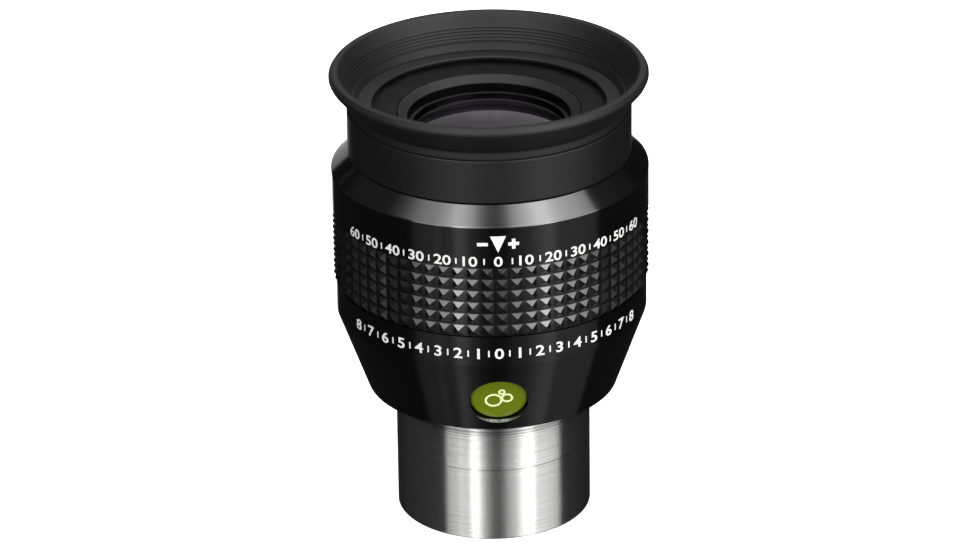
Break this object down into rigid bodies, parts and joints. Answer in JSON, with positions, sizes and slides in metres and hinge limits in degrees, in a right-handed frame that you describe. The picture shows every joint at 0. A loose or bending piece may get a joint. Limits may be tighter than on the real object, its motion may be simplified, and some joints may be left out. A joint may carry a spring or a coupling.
{
  "type": "telescope eyepiece",
  "caption": "Telescope eyepiece with a steel insertion barrel, black turned housing, pyramid grip, purge badge and a fold-down rubber eyecup round the coated eye lens.",
  "frame": {"origin": "centre of the barrel's open end, which is the lowest point", "axes": "+Z along the optical axis from the barrel to the eyecup; -Y towards the purge badge, which is the front"},
  "size_m": [0.051, 0.051, 0.0764],
  "materials": {
    "brushed_steel": "circumferentially brushed",
    "black_anodise": "glossy black anodised, turned",
    "black_cell": "matte black anodised",
    "grip_rubber": "smooth moulded pyramids",
    "eyecup_rubber": "matte soft rubber",
    "seal_rubber": "smooth seal",
    "coated_glass": "polished, violet anti-reflection coating",
    "badge_enamel": "glossy green enamel"
  },
  "bodies": {
    "housing": {"barrel": "brushed_steel", "field_stop": "black_cell", "lower_housing": "black_anodise", "main_housing": "black_anodise", "upper_housing": "black_anodise", "lower_housing_seal": "seal_rubber", "upper_housing_seal": "seal_rubber", "grip_sleeve": "grip_rubber", "purge_badge": "badge_enamel", "purge_screw": "brushed_steel", "purge_screw_seal": "seal_rubber", "eyecup_base": "eyecup_rubber", "eyecup_wall": "eyecup_rubber", "lens_cell": "black_cell", "lens_cell_seal": "seal_rubber", "field_lens_seal": "seal_rubber", "field_lens_front": "coated_glass", "field_lens_rear": "coated_glass", "field_lens_retainer": "black_cell", "field_spacer": "black_cell", "middle_lens": "coated_glass", "eye_spacer": "black_cell", "eye_lens_rear": "coated_glass", "eye_lens_front": "coated_glass", "eye_lens_seal": "seal_rubber", "eye_lens_retainer": "black_anodise"},
    "eyecup_rim": {"eyecup_rim": "eyecup_rubber"}
  },
  "joints": [
    {"name": "eyecup_fold", "type": "slide", "parent": "housing", "child": "eyecup_rim", "axis": [0, 0, -1], "range_m": [0, 0.0095], "deforming": ["eyecup_wall"]}
  ]
}
